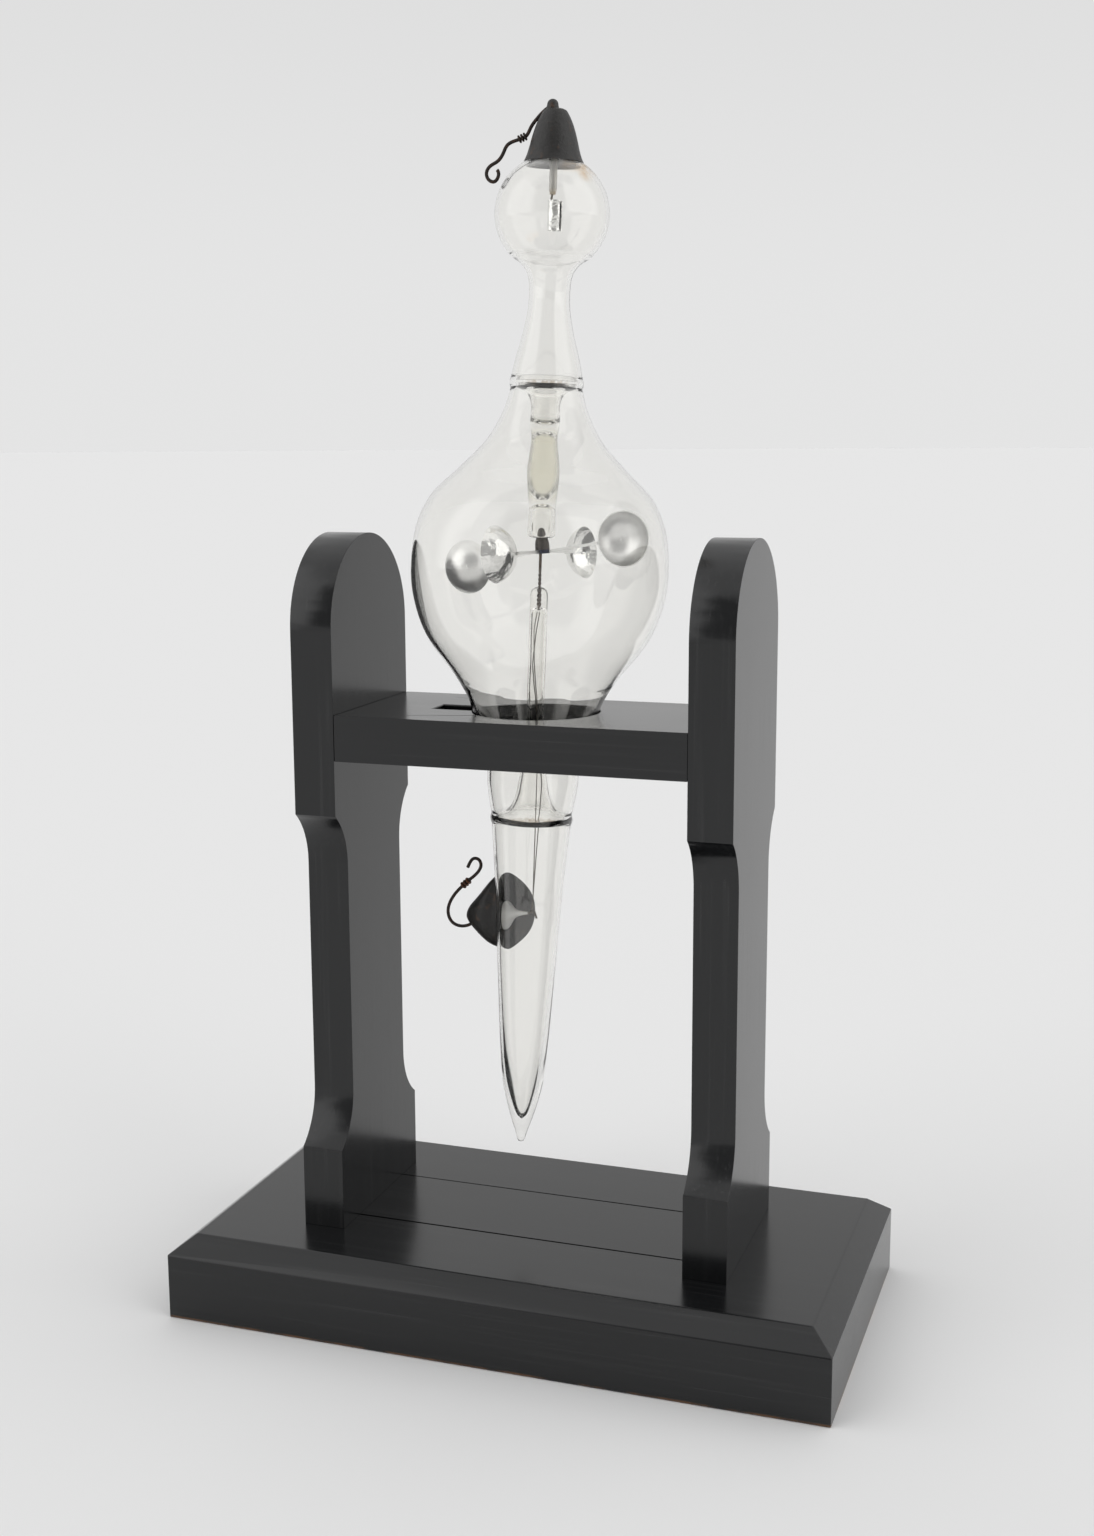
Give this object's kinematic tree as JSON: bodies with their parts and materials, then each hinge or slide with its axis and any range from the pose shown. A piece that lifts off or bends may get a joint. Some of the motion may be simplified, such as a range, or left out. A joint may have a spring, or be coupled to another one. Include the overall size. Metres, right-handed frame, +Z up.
{
  "type": "crookes radiometer",
  "caption": "Electrical light mill: blown glass vessel with a cup mill on a needle point, seated in the keyholed crossbar of a black wooden stand.",
  "frame": {"origin": "centre of the base board's underside", "axes": "+X along the base towards the upright away from the hook slot, +Y to the back, +Z up"},
  "size_m": [0.2032, 0.1042, 0.3572],
  "materials": {
    "ebonised_wood": "satin black stain and polish, worn brown at the edges",
    "screw_steel": "dull turned steel",
    "clear_glass": "clear blown soda glass, faintly yellow-grey",
    "frosted_glass": "clear tube with a frosted yellowish closed middle",
    "needle_steel": "dark steel",
    "lead_metal": "fine grey wire",
    "white_enamel": "milky white enamel glass",
    "black_wax": "semi-gloss black sealing wax, browner at its thin edge",
    "dark_iron": "dark brown oxidised iron",
    "rusty_iron": "red-brown rusty iron",
    "bright_aluminium": "thin polished sheet, slightly crinkled",
    "dark_cap": "dark grey-brown, semi-gloss",
    "blued_steel": "blue-black"
  },
  "bodies": {
    "stand": {"base_board": "ebonised_wood", "left_upright": "ebonised_wood", "right_upright": "ebonised_wood", "crossbar": "ebonised_wood", "base_screws": "screw_steel"},
    "vessel": {"main_bulb": "clear_glass", "tail_tube": "clear_glass", "top_bulb": "clear_glass", "lower_seal_ring": "clear_glass", "upper_seal_ring": "clear_glass", "lower_stem": "clear_glass", "guard_tube": "frosted_glass", "needle": "needle_steel", "needle_twist": "needle_steel", "lead_wire": "lead_metal", "seal_pin": "lead_metal", "enamel_bead": "white_enamel", "lower_wax": "black_wax", "lower_terminal_wire": "dark_iron", "lower_hook": "dark_iron", "lower_wire_wrap": "rusty_iron", "top_lead_wire": "lead_metal", "top_glass_stem": "clear_glass", "top_electrode": "bright_aluminium", "top_wax": "black_wax", "top_terminal_wire": "dark_iron", "top_hook": "dark_iron", "top_wire_wrap": "dark_iron"},
    "mill": {"pivot_cap": "dark_cap", "hub_collar": "blued_steel", "arm_1": "bright_aluminium", "arm_2": "bright_aluminium", "arm_3": "bright_aluminium", "arm_4": "bright_aluminium", "cup_1": "bright_aluminium", "cup_2": "bright_aluminium", "cup_3": "bright_aluminium", "cup_4": "bright_aluminium"}
  },
  "joints": [
    {"name": "vessel_lift", "type": "slide", "parent": "stand", "child": "vessel", "axis": [0.041, 0, 0.9992], "range_m": [0, 0.14]},
    {"name": "mill_spin", "type": "hinge", "parent": "vessel", "child": "mill", "pos_m": [0.00187, 0, 0.23716], "axis": [0, 0, 1], "continuous": true}
  ]
}
